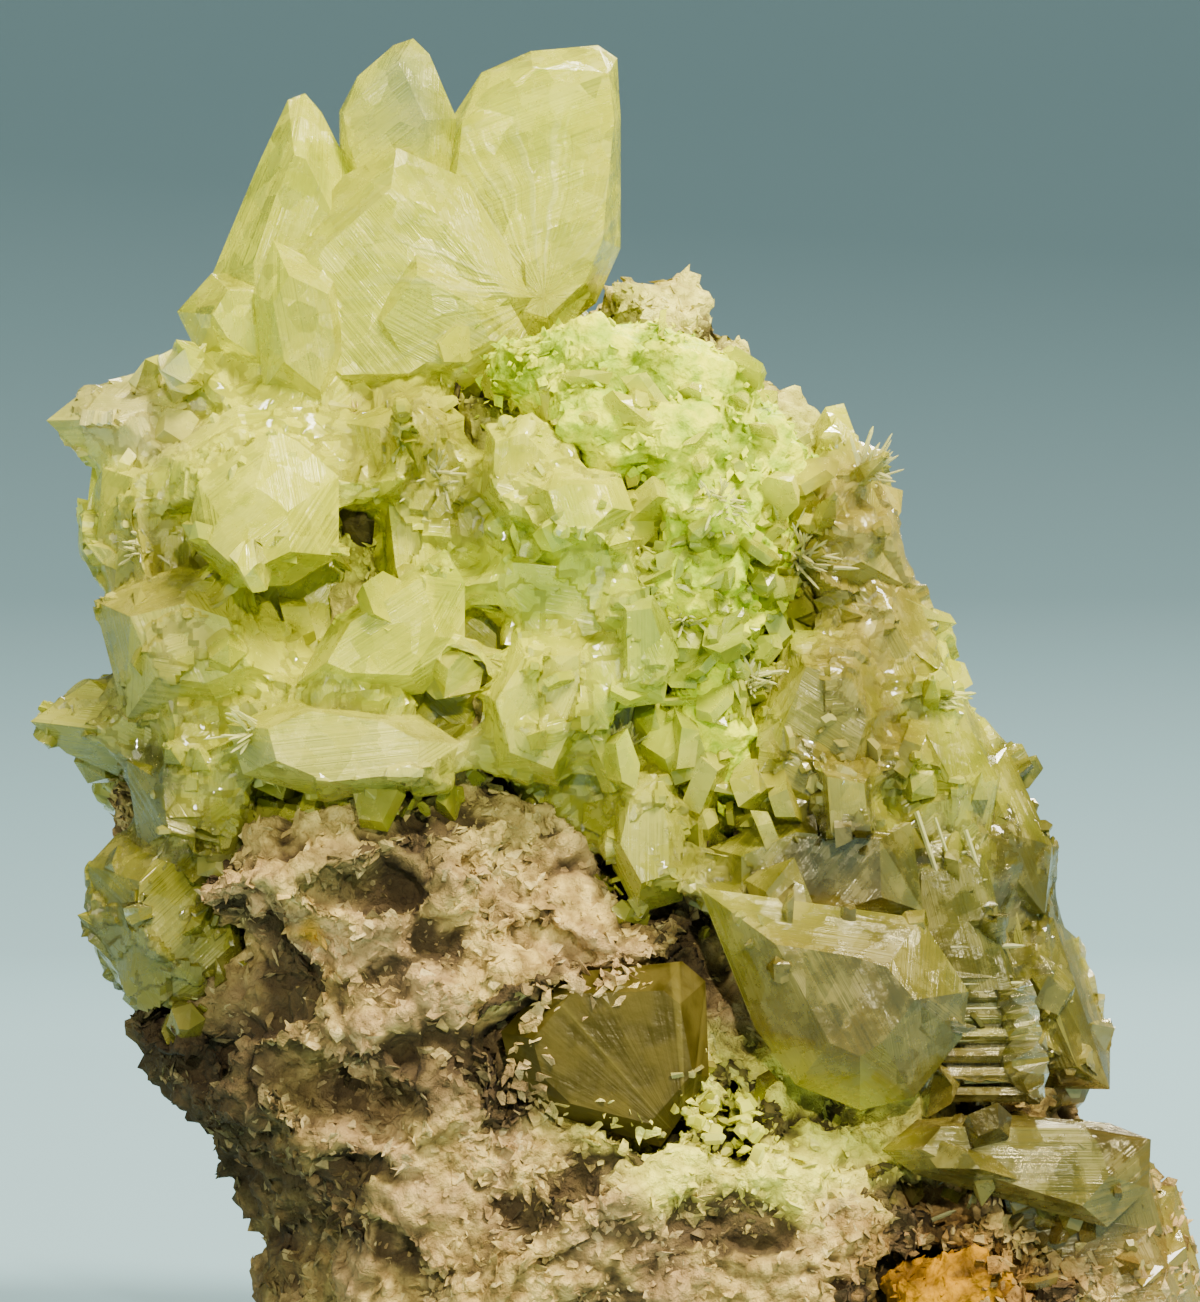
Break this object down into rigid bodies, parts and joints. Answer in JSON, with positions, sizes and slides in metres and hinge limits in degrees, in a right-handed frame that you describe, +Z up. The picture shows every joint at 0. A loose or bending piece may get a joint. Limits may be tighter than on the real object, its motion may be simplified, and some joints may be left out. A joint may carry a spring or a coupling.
{
  "type": "mineral specimen",
  "caption": "Cluster of clear pale yellow cerussite crystals on a crumbly tan matrix with lime green crust, cut flat underneath so that it stands.",
  "frame": {"origin": "under the middle of the specimen's bounding box, on the plane of its flat sawn foot", "axes": "+Z up from the sawn foot to the tips of the crown, -Y towards the side that shows the crystals, +X to the right as seen from that side"},
  "size_m": [0.0382, 0.0216, 0.044],
  "materials": {
    "clear_crystal": "gloss",
    "olive_crystal": "gloss",
    "crumbly_matrix": "matte",
    "green_crust": "satin",
    "rust_crust": "matte"
  },
  "bodies": {
    "root": {"matrix": "crumbly_matrix", "crown_crystals": "clear_crystal", "front_crystals": "clear_crystal", "right_flank_crystals": "clear_crystal", "foot_crystals": "clear_crystal", "back_crystals": "clear_crystal", "olive_crystal": "olive_crystal", "green_crust": "green_crust", "rust_crust": "rust_crust"}
  },
  "joints": []
}
